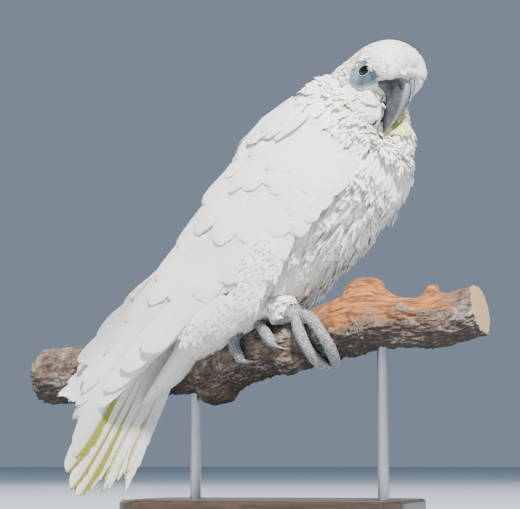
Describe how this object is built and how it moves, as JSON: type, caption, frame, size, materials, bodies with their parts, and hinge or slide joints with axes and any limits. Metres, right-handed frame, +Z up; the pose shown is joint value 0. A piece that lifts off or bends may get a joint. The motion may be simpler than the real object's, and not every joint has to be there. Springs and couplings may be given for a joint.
{
  "type": "white cockatoo",
  "caption": "Life-size still model of a white cockatoo with folded wings and folded crest, gripping a cut length of branch on a plain stand.",
  "frame": {"origin": "middle of the underside of the stand's base", "axes": "+X the way the bird's body faces, +Y towards its left side, +Z up"},
  "size_m": [0.4213, 0.1971, 0.3849],
  "materials": {
    "feathers": "matt white contour feathers",
    "flight_feathers": "stiff white flight feathers with a faint sheen",
    "tail_feathers": "white outer webs with pale yellow inner webs",
    "eye_skin": "matt bare pale blue-grey skin",
    "eye": "polished, like a glass eye",
    "bill_horn": "dark horn with a dusty powder bloom",
    "foot_skin": "dry grey scales",
    "claw_horn": "dark smooth horn",
    "bark": "rough dry bark, bare wood where it is worn off",
    "base_wood": "dark satin varnish",
    "steel": "brushed"
  },
  "bodies": {
    "root": {"stand_base": "base_wood", "stand_rod_1": "steel", "stand_rod_2": "steel", "perch": "bark", "bill_upper": "bill_horn", "bill_lower": "bill_horn", "eye_right": "eye", "eye_left": "eye", "eye_ring_right": "eye_skin", "eye_ring_left": "eye_skin", "crest": "feathers", "head": "feathers", "neck": "feathers", "trunk": "feathers", "vent": "feathers", "thigh_right": "feathers", "thigh_left": "feathers", "tarsus_right": "foot_skin", "tarsus_left": "foot_skin", "tail": "tail_feathers", "wing_right": "feathers", "wing_left": "feathers", "primaries_right": "flight_feathers", "primaries_left": "flight_feathers", "toe_right_1": "foot_skin", "claw_right_1": "claw_horn", "toe_right_2": "foot_skin", "claw_right_2": "claw_horn", "toe_right_3": "foot_skin", "claw_right_3": "claw_horn", "toe_right_4": "foot_skin", "claw_right_4": "claw_horn", "toe_left_1": "foot_skin", "claw_left_1": "claw_horn", "toe_left_2": "foot_skin", "claw_left_2": "claw_horn", "toe_left_3": "foot_skin", "claw_left_3": "claw_horn", "toe_left_4": "foot_skin", "claw_left_4": "claw_horn"}
  },
  "joints": []
}
